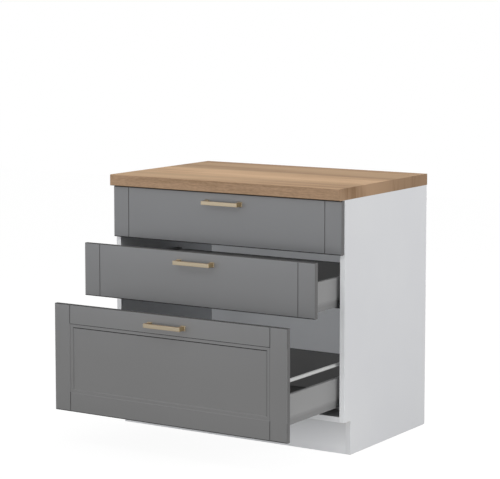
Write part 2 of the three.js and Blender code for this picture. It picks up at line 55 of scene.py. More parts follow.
CAMERA_PLACE = (3.39428, -5.23595, 1.49836)
CAMERA_AZIMUTH = 32.486
CAMERA_ELEVATION = 6.073
CAMERA_LENS_MM = 136.29
CAMERA_SENSOR_MM = 36
CAMERA_RISE = -0.099
CAMERA_REACH = 100


def make_camera():
    """The camera of the picture: a long lens, placed from the lines of the unit's edges."""
    data = bpy.data.cameras.new("camera")
    data.lens = CAMERA_LENS_MM
    data.sensor_width = CAMERA_SENSOR_MM
    data.shift_y = CAMERA_RISE
    data.clip_end = CAMERA_REACH
    camera = bpy.data.objects.new("camera", data)
    camera.location = CAMERA_PLACE
    camera.rotation_euler = (math.radians(90 - CAMERA_ELEVATION), 0, math.radians(CAMERA_AZIMUTH))
    bpy.context.scene.collection.objects.link(camera)
    bpy.context.scene.camera = camera


make_camera()

# ---------------------------------------------------------------- sizes, in metres

# Milled profile of the drawer fronts. A slope is how far a step runs for each unit of its drop.
FRONT_EDGE_RADIUS = 3 * MM
FRONT_EDGE_STEPS = 6
STILE_WIDTH = 62.5 * MM
GROOVE_WIDTH = 3 * MM
GROOVE_DEPTH = 2 * MM
BEAD_WIDTH = 11 * MM
BEAD_DROP = 1.5 * MM
PANEL_DROP = 4 * MM
BEAD_SLOPE = 1.2
PANEL_SLOPE = 0.75

# Handles
HANDLE_CENTRES = 128 * MM
HANDLE_LEG = 12 * MM
HANDLE_BAR_DEPTH = 9 * MM
HANDLE_HEIGHT = 13 * MM
HANDLE_EDGE = 0.8 * MM
FOOT_WIDTH = 18 * MM
FOOT_HEIGHT = 18 * MM
FOOT_THICKNESS = 3 * MM
FOOT_CHAMFER = 1.5 * MM
FOOT_MARGIN = 0.5 * MM

# Boards: how far their edges are eased
EDGE_BAND_RADIUS = 0.8 * MM
DRAWER_BOARD_RADIUS = 0.5 * MM
BACK_SHEET_RADIUS = 0.3 * MM
WORKTOP_EDGE_RADIUS = 3 * MM
WORKTOP_EDGE_STEPS = 8

# Printed planks of the worktop
PLANK_WIDTH = 118 * MM
PLANK_LENGTH = 820 * MM
END_BAND_PLANK_LENGTH = 200 * MM

# Steel sides: sheet thickness and the folds of their section
SIDE_WIDTH = 14 * MM
SIDE_SHEET = 1 * MM
SIDE_TOP_RADIUS = 3 * MM
SIDE_TOP_STEPS = 6
CHANNEL_HEIGHT = 33.5 * MM
CHANNEL_WALL = 2 * MM
CHANNEL_ROOF = 1.5 * MM
JOGGLE_HEIGHT = 25 * MM
JOGGLE_DEPTH = 1 * MM
SHELF_WIDTH = 14 * MM
REAR_TAB_WIDTH = 25 * MM
REAR_TAB_BOTTOM = 18 * MM
REAR_TAB_TOP = 82 * MM
REAR_TAB_SHEET = 1.2 * MM

# Moulded cap on the front end of each cabinet runner
RUNNER_GAP = 10 * MM
END_CAP_HEIGHT = 8 * MM
END_CAP_CLEARANCE = 0.6 * MM
END_CAP_ROUND = 0.6 * MM

# Nails that hold the back panel
NAIL_HEAD_RADIUS = 2.2 * MM
NAIL_CROWN_RADIUS = 0.8 * NAIL_HEAD_RADIUS
NAIL_HEAD_HEIGHT = 0.5 * MM
NAIL_SPACING = 120 * MM
NAIL_INSET = 7 * MM
NAIL_SIDES = 12

# Gallery rails
RAIL_SIDES = 48

# Rounded edges and creases, with angles in degrees. A piece with rounded edges has no creases.
ROUNDING_SEGMENTS = 3
ROUNDING_ANGLE = 40
CREASE_ANGLE = 35
NO_CREASE_ANGLE = 180

# Directions of faces: how much of a unit normal lies along an axis when the face points squarely
# along it, is the flat face of a front, is turned halfway, leans that way, or just turns to it
SQUARE = 0.9
FLAT = 0.8
HALFWAY = 0.5
LEANING = 0.3
TURNED = 0.1

LABELS = ("upper", "middle", "lower")
HANDS = (("left", -1), ("right", 1))
AXES = "xyz"

# ---------------------------------------------------------------- making of materials

# Nearly all of a noise lies between these two values
NOISE_LOW = 0.3
NOISE_HIGH = 0.7

# Sockets of a mix node for colours: the factor, the two colours, and the result among the outputs
MIX_FACTOR = 0
MIX_FIRST = 6
MIX_SECOND = 7
MIX_RESULT = 2


def linear(hex_color):
    """An sRGB hex colour as linear RGBA."""
    channels = [int(hex_color[i:i + 2], 16) / 255 for i in (1, 3, 5)]
    return [c / 12.92 if c <= 0.04045 else ((c + 0.055) / 1.055) ** 2.4 for c in channels] + [1]


def add(tree, kind, inputs=None, stops=None, **settings):
    """Adds one node. Settings are its own values, and inputs are values or links for its sockets.
    Stops are the positions and hex colours of a node that has a colour ramp."""
    node = tree.nodes.new(kind)
    for name, value in settings.items():
        setattr(node, name, value)
    for name, value in (inputs or {}).items():
        if isinstance(value, bpy.types.NodeSocket):
            tree.links.new(value, node.inputs[name])
        else:
            node.inputs[name].default_value = value
    if stops:
        elements = node.color_ramp.elements
        while len(elements) < len(stops):
            elements.new(0.5)
        for element, (position, color) in zip(elements, stops):
            element.position = position
            element.color = linear(color)
    return node


def new_material(name, **principled):
    """A material with one Principled shader. Its constants are set on the shader's own sockets."""
    material = bpy.data.materials.new(name)
    material.use_nodes = True
    tree = material.node_tree
    shader = tree.nodes["Principled BSDF"]
    for socket, value in principled.items():
        shader.inputs[socket.replace("_", " ")].default_value = value
    return material, tree, shader


def pattern(tree, kind, cell, **inputs):
    """A texture drawn to size: its cells have the given size in metres along X, Y and Z."""
    place = add(tree, "ShaderNodeTexCoord").outputs["Object"]
    scale = [1 / size for size in cell]
    place = add(tree, "ShaderNodeMapping", {"Vector": place, "Scale": scale}).outputs["Vector"]
    return add(tree, kind, {"Vector": place, "Scale": 1, **inputs})


def place_along(tree, space, axis):
    """Where a point lies along an axis: from 0 to 1 over the piece's box if the space is
    Generated, or in metres from the origin if it is Object."""
    place = add(tree, "ShaderNodeTexCoord").outputs[space]
    return add(tree, "ShaderNodeSeparateXYZ", {"Vector": place}).outputs[axis]


def clouded(tree, size, dark, light):
    """A colour that drifts between two shades in soft clouds of the given size."""
    cloud = pattern(tree, "ShaderNodeTexNoise", (size,) * 3).outputs["Fac"]
    return add(tree, "ShaderNodeValToRGB", {"Fac": cloud},
               stops=[(NOISE_LOW, dark), (NOISE_HIGH, light)]).outputs["Color"]


def shaded(tree, color, factor, greys):
    """A colour darkened by greys that are laid out over a factor."""
    shade = add(tree, "ShaderNodeValToRGB", {"Fac": factor}, stops=greys).outputs["Color"]
    return add(tree, "ShaderNodeMix", {MIX_FACTOR: 1.0, MIX_FIRST: color, MIX_SECOND: shade},
               data_type="RGBA", blend_type="MULTIPLY").outputs[MIX_RESULT]


def dress(tree, shader, color, height, depth):
    """Gives a surface its colour and the relief of a height pattern of this depth in metres."""
    tree.links.new(color, shader.inputs["Base Color"])
    bump = add(tree, "ShaderNodeBump", {"Height": height, "Distance": depth})
    tree.links.new(bump.outputs["Normal"], shader.inputs["Normal"])


def melamine_board(name, face, cloud, roughness=0.42, shine=0.5, top=None):
    """Melamine-faced board: resin paper pressed on chipboard, or ironed on as an edge band. The
    press plate leaves a fine pearl texture that softens reflections. The real pearls are 0.3 mm
    and are drawn coarser. Face and cloud are the two shades that the board drifts between. Top is
    a painted shade that darkens an upright board towards its upper edge."""
    material, tree, shader = new_material(name, Roughness=roughness, Specular_IOR_Level=shine)
    color = clouded(tree, 300 * MM, cloud, face)
    if top:
        color = shaded(tree, color, place_along(tree, "Generated", "Z"),
                       [(0.2, "#FFFFFF"), (1, top)])
    pearls = pattern(tree, "ShaderNodeTexNoise", (1.6 * MM,) * 3, Detail=3)
    dress(tree, shader, color, pearls.outputs["Fac"], 0.03 * MM)
    return material


def raw_chipboard():
    """Chipboard sawn through: pressed flakes and glue, seen where no edge band is ironed on."""
    material, tree, shader = new_material("raw_chipboard", Roughness=0.85)
    flakes = pattern(tree, "ShaderNodeTexVoronoi", (2.5 * MM, 4 * MM, 1.4 * MM))
    shade = add(tree, "ShaderNodeSeparateColor", {"Color": flakes.outputs["Color"]})
    color = add(tree, "ShaderNodeValToRGB", {"Fac": shade.outputs["Red"]},
                stops=[(0, "#8F7349"), (0.5, "#B7996B"), (1, "#D2B98C")])
    dress(tree, shader, color.outputs["Color"], flakes.outputs["Distance"], 0.3 * MM)
    return material


def raw_hardboard():
    """Hardboard: wood fibre pressed to a hard brown sheet. Its rough side shows matted fibres and
    the dents of the wire mesh that it was pressed on."""
    material, tree, shader = new_material("raw_hardboard", Roughness=0.8)
    fibres = pattern(tree, "ShaderNodeTexNoise", (3 * MM,) * 3, Detail=4, Roughness=0.7)
    color = add(tree, "ShaderNodeValToRGB", {"Fac": fibres.outputs["Fac"]},
                stops=[(0.3, "#6E5236"), (0.55, "#876748"), (0.8, "#9C7B58")])
    mesh_dents = pattern(tree, "ShaderNodeTexNoise", (1.8 * MM,) * 3, Detail=1)
    dress(tree, shader, color.outputs["Color"], mesh_dents.outputs["Fac"], 0.15 * MM)
    return material


def oak_laminate(name, grain_axis, light, dark, plank_length=PLANK_LENGTH, planks=None,
                 mottle=None):
    """Oak-look laminate: printed planks under a matt wear layer. The grain is a fine streak along
    the plank over a broad figure, wide bands of tone part the planks, and the pores are a shallow
    relief. The real pores are 0.3 mm wide and are drawn coarser. Planks are greys over the depth
    of the board, from its front to its back. Mottle is the shade of short flecks in the print."""
    material, tree, shader = new_material(name, Roughness=0.6, Specular_IOR_Level=0.03)

    def cell(length, width):
        return [length if axis == grain_axis else width for axis in AXES]

    fine = pattern(tree, "ShaderNodeTexNoise", cell(70 * MM, 1.6 * MM),
                   Detail=4, Roughness=0.6).outputs["Fac"]
    figure = pattern(tree, "ShaderNodeTexNoise", cell(420 * MM, 22 * MM),
                     Detail=3, Roughness=0.55, Distortion=0.6).outputs["Fac"]
    band = pattern(tree, "ShaderNodeTexNoise", cell(plank_length, PLANK_WIDTH),
                   Detail=0).outputs["Fac"]
    streak = add(tree, "ShaderNodeMix", {MIX_FACTOR: 0.5, MIX_FIRST: fine, MIX_SECOND: figure},
                 data_type="RGBA").outputs[MIX_RESULT]
    tone = add(tree, "ShaderNodeMix", {MIX_FACTOR: 0.45, MIX_FIRST: streak, MIX_SECOND: band},
               data_type="RGBA").outputs[MIX_RESULT]
    color = add(tree, "ShaderNodeValToRGB", {"Fac": tone},
                stops=[(0.36, dark), (0.5, light), (0.64, light)]).outputs["Color"]
    if planks:
        color = shaded(tree, color, place_along(tree, "Generated", "Y"), planks)
    if mottle:
        flecks = pattern(tree, "ShaderNodeTexNoise", cell(16 * MM, 4 * MM), Roughness=0.7)
        color = shaded(tree, color, flecks.outputs["Fac"], [(0.35, mottle), (0.65, "#FFFFFF")])
    dress(tree, shader, color, fine, 0.08 * MM)
    return material


def foil_wrapped_fibreboard(name, low_shade, high_shade, roughness, shine):
    """PVC foil drawn over milled fibreboard in a membrane press: an even satin skin that rounds
    every milled edge, with a faint leather-like grain. The real grain is 0.4 mm and is drawn
    coarser. Duller copies in other shades are painted shade and painted light on the grooves,
    edges and slopes. A painted shade makes the lower fronts a little darker than the top one."""
    material, tree, shader = new_material(name, Roughness=roughness, Specular_IOR_Level=shine)
    height_shade = add(tree, "ShaderNodeValToRGB", {"Fac": place_along(tree, "Object", "Z")},
                stops=[(FOIL_SHADE_LOW, low_shade), (FOIL_SHADE_HIGH, high_shade)])
    cloud = pattern(tree, "ShaderNodeTexNoise", (350 * MM,) * 3).outputs["Fac"]
    color = shaded(tree, height_shade.outputs["Color"], cloud,
                   [(NOISE_LOW, "#FAFAFA"), (NOISE_HIGH, "#FFFFFF")])
    grain = pattern(tree, "ShaderNodeTexNoise", (1.2 * MM,) * 3)
    dress(tree, shader, color, grain.outputs["Fac"], 0.015 * MM)
    return material


def powder_coat(name, dark, light, roughness=0.38, channel=None):
    """Powder coat baked on steel: a thick, even skin with the slight waviness of orange peel. The
    lower part of a steel side, over the runner's channel, is darker. Channel is its shade, which
    fades out between two parts of the piece's height."""
    material, tree, shader = new_material(name, Roughness=roughness)
    color = clouded(tree, 250 * MM, dark, light)
    if channel:
        above_channel = add(tree, "ShaderNodeMapRange", {
            "Value": place_along(tree, "Generated", "Z"),
            "From Min": CHANNEL_SHADE_FULL, "From Max": CHANNEL_SHADE_END})
        color = add(tree, "ShaderNodeMix", {
            MIX_FACTOR: above_channel.outputs["Result"], MIX_FIRST: linear(channel), MIX_SECOND: color},
            data_type="RGBA").outputs[MIX_RESULT]
    orange_peel = pattern(tree, "ShaderNodeTexNoise", (2.2 * MM,) * 3, Detail=1)
    dress(tree, shader, color, orange_peel.outputs["Fac"], 0.02 * MM)
    return material


def zinc_plate():
    """Bright zinc on cold-rolled steel: a pale blue-grey metal clouded in two tones, its sheen
    broken by rolling marks. The real marks are 0.2 mm wide and are drawn coarser."""
    material, tree, shader = new_material("zinc_plated_steel", Metallic=1.0)
    clouds = pattern(tree, "ShaderNodeTexNoise", (9 * MM,) * 3)
    color = add(tree, "ShaderNodeValToRGB", {"Fac": clouds.outputs["Fac"]},
                stops=[(0.35, "#A3A7AC"), (0.65, "#BFC3C7")])
    tree.links.new(color.outputs["Color"], shader.inputs["Base Color"])
    marks = pattern(tree, "ShaderNodeTexNoise", (0.8 * MM, 60 * MM, 0.8 * MM))
    sheen = add(tree, "ShaderNodeMapRange", {
        "Value": marks.outputs["Fac"], "From Min": NOISE_LOW, "From Max": NOISE_HIGH,
        "To Min": 0.28, "To Max": 0.42})
    tree.links.new(sheen.outputs["Result"], shader.inputs["Roughness"])
    return material


def brushed_brass(name, dark, light):
    """Brass-plated zinc casting, brushed along the bar: pale gold with long fine scratches, along
    which both its colour and its sheen change. The real scratches are 0.1 mm wide and are drawn
    coarser."""
    material, tree, shader = new_material(name, Metallic=1.0)
    scratches = pattern(tree, "ShaderNodeTexNoise", (45 * MM, 0.7 * MM, 0.7 * MM),
                        Detail=3, Roughness=0.6).outputs["Fac"]
    color = add(tree, "ShaderNodeValToRGB", {"Fac": scratches},
                stops=[(NOISE_LOW, dark), (NOISE_HIGH, light)])
    sheen = add(tree, "ShaderNodeMapRange", {
        "Value": scratches, "From Min": NOISE_LOW, "From Max": NOISE_HIGH,
        "To Min": 0.3, "To Max": 0.42})
    tree.links.new(sheen.outputs["Result"], shader.inputs["Roughness"])
    dress(tree, shader, color.outputs["Color"], scratches, 0.02 * MM)
    return material


def moulded_nylon():
    """Glass-filled nylon moulded in an eroded tool: near black, with a fine spark texture that
    scatters its sheen. The real pits are 0.1 mm and are drawn coarser."""
    material, tree, shader = new_material("dark_moulded_nylon", Roughness=0.5)
    color = clouded(tree, 20 * MM, "#222326", "#2B2C2F")
    pits = pattern(tree, "ShaderNodeTexNoise", (0.7 * MM,) * 3, Detail=1)
    dress(tree, shader, color, pits.outputs["Fac"], 0.03 * MM)
    return material


# ---------------------------------------------------------------- materials

# The body's boards, the bands ironed on their edges, and the graphite boards of the drawers
WHITE_BOARD = melamine_board("white_melamine_board", "#DEDFE1", "#DADBDE")
WHITE_EDGE_BAND = melamine_board("white_edge_band", "#E8E9EB", "#E5E6E8", roughness=0.36)
# The side panels' front edge band is a lighter copy of the edge band: painted light
FRONT_BAND_PAINTED_LIGHT = melamine_board("white_front_edge_band_painted_light", "#F3F4F6", "#F0F1F3", roughness=0.36)
GREY_BOARD = melamine_board("grey_melamine_board", "#6D6D6D", "#696969", roughness=0.5)
RAW_CHIPBOARD = raw_chipboard()

# Plinth, with a painted shade that makes it a little greyer towards its upper edge, under the body
PLINTH_BOARD_PAINTED_SHADE = melamine_board("white_plinth_board_painted_shade", "#E6E7E9", "#E2E3E6", top="#DDDDDD")

# Upper face of the bottom panel: the white board painted grey and matt, as painted shade under the
# drawers
BOTTOM_BOARD_PAINTED_SHADE = melamine_board("grey_bottom_board_painted_shade", "#B2B3B5", "#AEAFB1", roughness=0.9, shine=0.05)

# Back sheet: lacquered white inside, as smooth as the boards, and raw outside
WHITE_LACQUER = melamine_board("white_lacquered_hardboard", "#E3E5E8", "#DFE1E4", roughness=0.5)
RAW_HARDBOARD = raw_hardboard()

# Worktop: its top, its front edge and the rounding under it, and the bands on its short sides.
# The top is a lighter copy of the front edge's laminate, as painted light from above, and the
# rounding under the edge is painted dark, as painted shade.
OAK_TOP_PAINTED_LIGHT = oak_laminate("oak_laminate", "x", "#D4B28F", "#B69475", planks=[
    (0.13, "#F1F1F1"), (0.17, "#E7E7E7"), (0.23, "#E7E7E7"), (0.27, "#FFFFFF"),
    (0.55, "#FFFFFF"), (0.61, "#DDDDDD"), (0.82, "#E3E3E3"), (0.88, "#EEEEEE")])
OAK_FRONT = oak_laminate("oak_front_edge", "x", "#B8997D", "#8E7458", mottle="#E8E8E8")
OAK_UNDER_PAINTED_SHADE = oak_laminate("oak_edge_underside_painted_shade", "x", "#6E5B49", "#574635")
OAK_END = oak_laminate(
    "oak_edge_band", "z", "#B09276", "#8B6E53", plank_length=END_BAND_PLANK_LENGTH, planks=[
        (0.0, "#F2F2F2"), (0.35, "#FFFFFF"), (0.5, "#F6F6F6"), (0.68, "#E4E4E4"),
        (1.0, "#E2E2E2")])

# Heights in metres over which a painted shade lightens the foil, from the lower fronts to the
# upper
FOIL_SHADE_LOW = 0.3
FOIL_SHADE_HIGH = 0.7

# Foil of the fronts: on the flat face. Its copies are painted shade and painted light: darker in
# the grooves, roundings and edge faces, much darker on the upper edges and right-facing bead
# slopes, lighter on the bead's left-facing and upward slopes, and near black on faces that turn
# downwards.
# The rear faces have a melamine backing paper.
GREY_FOIL = foil_wrapped_fibreboard("grey_foil_on_fibreboard", "#757575", "#7D7E80", 0.44, 0.5)
CREASE_FOIL_PAINTED_SHADE = foil_wrapped_fibreboard("grey_foil_painted_crease_shade", "#707070", "#747474", 0.8, 0.15)
EDGE_FOIL_PAINTED_SHADE = foil_wrapped_fibreboard("grey_foil_painted_edge_shade", "#4E4E4E", "#525252", 0.8, 0.1)
BEAD_FOIL_PAINTED_LIGHT = foil_wrapped_fibreboard("grey_foil_painted_bead_light", "#8A8A8A", "#8E8E8E", 0.8, 0.15)
UNDER_FOIL_PAINTED_SHADE = foil_wrapped_fibreboard("grey_foil_painted_underside_shade", "#1C1C1C", "#202020", 0.8, 0.1)
FRONT_BACKING = melamine_board("light_grey_backing_paper", "#C9CBCD", "#C5C7C9", roughness=0.5)

# Parts of a steel side's height between which the darker shade of its channel fades out
CHANNEL_SHADE_FULL = 0.15
CHANNEL_SHADE_END = 0.31

# Steel sides and gallery rails
GREY_STEEL = powder_coat("grey_powder_coat", "#858585", "#898989", channel="#717171")
WHITE_STEEL = powder_coat("white_powder_coat", "#C6C7C6", "#CACBCA", roughness=0.3)

# Runners, brackets, screws and nails
ZINC = zinc_plate()
DARK_PLASTIC = moulded_nylon()

# Handles: the brushed front of the bar; a lighter copy of the brass as painted light on its tops,
# undersides and inner faces, and a lighter one still on the sides of the legs
BRASS = brushed_brass("brushed_pale_brass", "#857B6A", "#988D7A")
BRASS_PAINTED_LIGHT = brushed_brass("brass_painted_light", "#B6966F", "#C3A47E")
LEG_BRASS_PAINTED_LIGHT = brushed_brass("brass_leg_sides_painted_light", "#DCC295", "#E6CDA0")

# ---------------------------------------------------------------- mesh helpers


def finish_piece(name, bm, materials, body, node, bevel=0):
    """Turns a bmesh into a piece: smooth faces with crisp creases, optional rounded edges, its
    materials, its body, and the CAD node it stands for."""
    bmesh.ops.recalc_face_normals(bm, faces=bm.faces)
    mesh = bpy.data.meshes.new(name)
    bm.to_mesh(mesh)
    bm.free()
    piece = bpy.data.objects.new(name, mesh)
    bpy.context.scene.collection.objects.link(piece)
    for material in materials:
        mesh.materials.append(material)
    if bevel:
        rounding = piece.modifiers.new("rounded_edges", "BEVEL")
        rounding.width = bevel
        rounding.segments = ROUNDING_SEGMENTS
        rounding.limit_method = "ANGLE"
        rounding.angle_limit = math.radians(ROUNDING_ANGLE)
    for polygon in mesh.polygons:
        polygon.use_smooth = True
    mesh.set_sharp_from_angle(angle=math.radians(NO_CREASE_ANGLE if bevel else CREASE_ANGLE))
    if bevel:
        piece.modifiers.new("flat_faces", "WEIGHTED_NORMAL").keep_sharp = True
    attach(piece, body)
    if node:
        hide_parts(node)
    return piece


def point_on(axis, across, depth):
    """A point from two coordinates across an axis, in X, Y, Z order, and one along it."""
    point = list(across)
    point.insert(AXES.index(axis), depth)
    return point


def prism(bm, axis, loops, start, end):
    """A straight prism along an axis. The first loop is its outline, and others are holes."""
    caps = []
    for depth in (start, end):
        rings = [[bm.verts.new(point_on(axis, p, depth)) for p in loop] for loop in loops]
        edges = [bm.edges.new((ring[i - 1], ring[i])) for ring in rings for i in range(len(ring))]
        caps.append(rings)
        if len(loops) == 1:
            bm.faces.new(rings[0])
        else:
            bmesh.ops.triangle_fill(bm, edges=edges, use_beauty=True, use_dissolve=True)
    for first, second in zip(*caps):
        join_rings(bm, first, second)


def join_rings(bm, first, second):
    """A closed band of faces between two rings with as many points."""
    for i in range(len(first)):
        bm.faces.new((first[i - 1], first[i], second[i], second[i - 1]))


def arc(centre, radius, start, stop, steps):
    """Points on an arc, with angles in degrees."""
    turns = [math.radians(start + (stop - start) * i / steps) for i in range(steps + 1)]
    return [(centre[0] + radius * math.cos(t), centre[1] + radius * math.sin(t)) for t in turns]


def block(bm, low, high):
    """A plain box."""
    outline = [(low[0], low[1]), (high[0], low[1]), (high[0], high[1]), (low[0], high[1])]
    prism(bm, "z", [outline], low[2], high[2])


def lathe(bm, centre, profile, sides):
    """A turned solid about a line along Y. The profile is (radius, y), from the line and back to
    it."""
    rings = []
    for radius, y in profile:
        if radius == 0:
            rings.append([bm.verts.new((centre[0], y, centre[1]))])
            continue
        turns = [2 * math.pi * i / sides for i in range(sides)]
        rings.append([bm.verts.new((centre[0] + radius * math.cos(t), y,
                                    centre[1] + radius * math.sin(t))) for t in turns])
    for a, b in zip(rings, rings[1:]):
        for i in range(sides):
            ring = [a[i - 1], a[i]] if len(a) > 1 else [a[0]]
            ring += [b[i], b[i - 1]] if len(b) > 1 else [b[0]]
            bm.faces.new(ring)


def box_piece(name, node, materials, body="root", bevel=EDGE_BAND_RADIUS):
    """A board: the node's box with its edges eased."""
    bm = bmesh.new()
    block(bm, *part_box(node))
    return finish_piece(name, bm, materials, body, node, bevel)


def color_faces(piece, material, test):
    """Gives one of a piece's materials to the faces whose centre and normal pass a test."""
    index = piece.data.materials.find(material.name)
    for polygon in piece.data.polygons:
        if test(polygon.center, polygon.normal):
            polygon.material_index = index


# ---------------------------------------------------------------- body


def make_side_panel(hand):
    """Side panel down to the floor, notched for the toe recess. Its bottom and rear edges are
    raw."""
    node = f"side_panel_{hand}"
    low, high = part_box(node)
    notch_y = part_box("plinth_board")[0].y
    notch_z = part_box("bottom_panel")[0].z
    outline = [
        (notch_y, low.z), (high.y, low.z), (high.y, high.z),
        (low.y, high.z), (low.y, notch_z), (notch_y, notch_z),
    ]
    bm = bmesh.new()
    prism(bm, "x", [outline], low.x, high.x)
    piece = finish_piece(f"{node}_board", bm, [WHITE_BOARD, RAW_CHIPBOARD, FRONT_BAND_PAINTED_LIGHT],
                         "root", node, EDGE_BAND_RADIUS)
    color_faces(piece, RAW_CHIPBOARD,
                lambda centre, normal: normal.y > SQUARE or normal.z < -SQUARE)
    # Painted light: the front edge above the toe recess gets the lighter band
    color_faces(piece, FRONT_BAND_PAINTED_LIGHT,
                lambda centre, normal: normal.y < -SQUARE and centre.z > notch_z)


def make_back_panel():
    """Hardboard sheet, white inside and raw outside, nailed to the body's rear edges."""
    piece = box_piece("back_panel_sheet", "back_panel", [WHITE_LACQUER, RAW_HARDBOARD],
                      bevel=BACK_SHEET_RADIUS)
    color_faces(piece, RAW_HARDBOARD, lambda centre, normal: normal.y > SQUARE)
    low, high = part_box("back_panel")
    crown_y = high.y + NAIL_HEAD_HEIGHT
    bm = bmesh.new()
    for place in nail_places(low, high):
        lathe(bm, place, [(0, high.y), (NAIL_HEAD_RADIUS, high.y), (NAIL_CROWN_RADIUS, crown_y),
                          (0, crown_y)], NAIL_SIDES)
    finish_piece("back_panel_nails", bm, [ZINC], "root", None)


def nail_places(low, high):
    """Nails along the sheet's four edges, evenly spaced."""
    x0, x1 = low.x + NAIL_INSET, high.x - NAIL_INSET
    z0, z1 = low.z + NAIL_INSET, high.z - NAIL_INSET
    across = round((x1 - x0) / NAIL_SPACING)
    up = round((z1 - z0) / NAIL_SPACING)
    places = [(x0 + (x1 - x0) * i / across, z) for i in range(across + 1) for z in (z0, z1)]
    return places + [(x, z0 + (z1 - z0) * i / up) for i in range(1, up) for x in (x0, x1)]


def make_body():
    """Side panels, the boards between them, and the back sheet."""
    for hand, _ in HANDS:
        make_side_panel(hand)
    for node in ("bottom_panel", "front_stretcher", "rear_stretcher"):
        piece = box_piece(f"{node}_board", node,
                          [WHITE_BOARD, RAW_CHIPBOARD, WHITE_EDGE_BAND, BOTTOM_BOARD_PAINTED_SHADE])
        color_faces(piece, RAW_CHIPBOARD, lambda centre, normal: normal.y > SQUARE)
        color_faces(piece, WHITE_EDGE_BAND, lambda centre, normal: normal.y < -SQUARE)
        if node == "bottom_panel":
            # Painted shade on the bottom panel's upper face
            color_faces(piece, BOTTOM_BOARD_PAINTED_SHADE, lambda centre, normal: normal.z > SQUARE)
    box_piece("plinth_board_board", "plinth_board", [PLINTH_BOARD_PAINTED_SHADE])
    make_back_panel()


# ---------------------------------------------------------------- worktop


def make_worktop():
    """Laminated board with rounded front edges, closed by a thin band on each short side."""
    for node, material, slot in (
        ("worktop", OAK_TOP_PAINTED_LIGHT, "oak_worktop"),
        ("worktop_end_band_left", OAK_END, "oak_end_band"),
        ("worktop_end_band_right", OAK_END, "oak_end_band"),
    ):
        low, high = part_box(node)
        r = WORKTOP_EDGE_RADIUS
        outline = [(high.y, low.z), (high.y, high.z)]
        outline += arc((low.y + r, high.z - r), r, 90, 180, WORKTOP_EDGE_STEPS)
        outline += arc((low.y + r, low.z + r), r, 180, 270, WORKTOP_EDGE_STEPS)
        bm = bmesh.new()
        prism(bm, "x", [outline], low.x, high.x)
        piece = finish_piece(f"{node}_board", bm, [material, RAW_CHIPBOARD, OAK_FRONT, OAK_UNDER_PAINTED_SHADE],
                             "root", node)
        if node == "worktop":
            color_faces(piece, RAW_CHIPBOARD,
                        lambda centre, normal: normal.y > SQUARE or normal.z < -SQUARE)
            color_faces(piece, OAK_FRONT, lambda centre, normal: normal.y < -HALFWAY)
            # Painted shade on the rounding under the front edge
            color_faces(piece, OAK_UNDER_PAINTED_SHADE,
                        lambda centre, normal: normal.y < -TURNED and normal.z < -LEANING)


# ---------------------------------------------------------------- drawer fronts


def front_insets(framed):
    """Lines of the front's milled profile: distances from its outer edge."""
    r = FRONT_EDGE_RADIUS
    half = GROOVE_WIDTH / 2
    turn = 90 / FRONT_EDGE_STEPS
    rounding = [r - r * math.cos(math.radians(turn * i)) for i in range(FRONT_EDGE_STEPS + 1)]
    groove = [STILE_WIDTH - half, STILE_WIDTH, STILE_WIDTH + half]
    if not framed:
        return rounding + groove
    bead_start = STILE_WIDTH + BEAD_SLOPE * BEAD_DROP
    bead_end = STILE_WIDTH + BEAD_WIDTH
    panel_start = bead_end + PANEL_SLOPE * PANEL_DROP
    return rounding + sorted(groove + [bead_start, bead_end, panel_start])


def front_depth(x_inset, z_inset, framed):
    """How far the face lies behind the front's foremost plane, from the distances to its edges."""
    inset = min(x_inset, z_inset)
    r = FRONT_EDGE_RADIUS
    depth = 0
    if inset < r:
        depth = r - math.sqrt(max(r * r - (r - inset) ** 2, 0))
    if framed and inset > STILE_WIDTH:
        ease = min((inset - STILE_WIDTH) / (BEAD_SLOPE * BEAD_DROP), 1)
        depth = BEAD_DROP * ease
        panel = inset - STILE_WIDTH - BEAD_WIDTH
        if panel > 0:
            depth += (PANEL_DROP - BEAD_DROP) * min(panel / (PANEL_SLOPE * PANEL_DROP), 1)
    off_groove = abs(x_inset - STILE_WIDTH) / (GROOVE_WIDTH / 2)
    if off_groove < 1 and not (framed and z_inset > STILE_WIDTH):
        depth = max(depth, GROOVE_DEPTH * (1 - off_groove))
    return depth


def milled_face(bm, low, high, framed):
    """The front's milled face, cut along the mitres of its frame. Returns the points on its rim,
    in order round it."""
    insets = front_insets(framed)
    xs = [low.x + i for i in insets] + [high.x - i for i in reversed(insets)]
    zs = [low.z + i for i in insets] + [high.z - i for i in reversed(insets)]
    grid = []
    for x in xs:
        x_inset = min(x - low.x, high.x - x)
        column = []
        for z in zs:
            z_inset = min(z - low.z, high.z - z)
            column.append(bm.verts.new((x, low.y + front_depth(x_inset, z_inset, framed), z)))
        grid.append(column)
    last = len(grid) - 1
    for i in range(last):
        for j in range(last):
            a, b, c, d = grid[i][j], grid[i + 1][j], grid[i + 1][j + 1], grid[i][j + 1]
            cuts = [(a, b, c, d)]
            if i == j:
                cuts = [(a, b, c), (a, d, c)]
            elif i + j == last - 1:
                cuts = [(b, a, d), (b, c, d)]
            for corners in cuts:
                bm.faces.new(corners)
    rim = [grid[i][0] for i in range(last)] + [grid[last][j] for j in range(last)]
    rim += [grid[i][last] for i in range(last, 0, -1)]
    return rim + [grid[0][j] for j in range(last, 0, -1)]


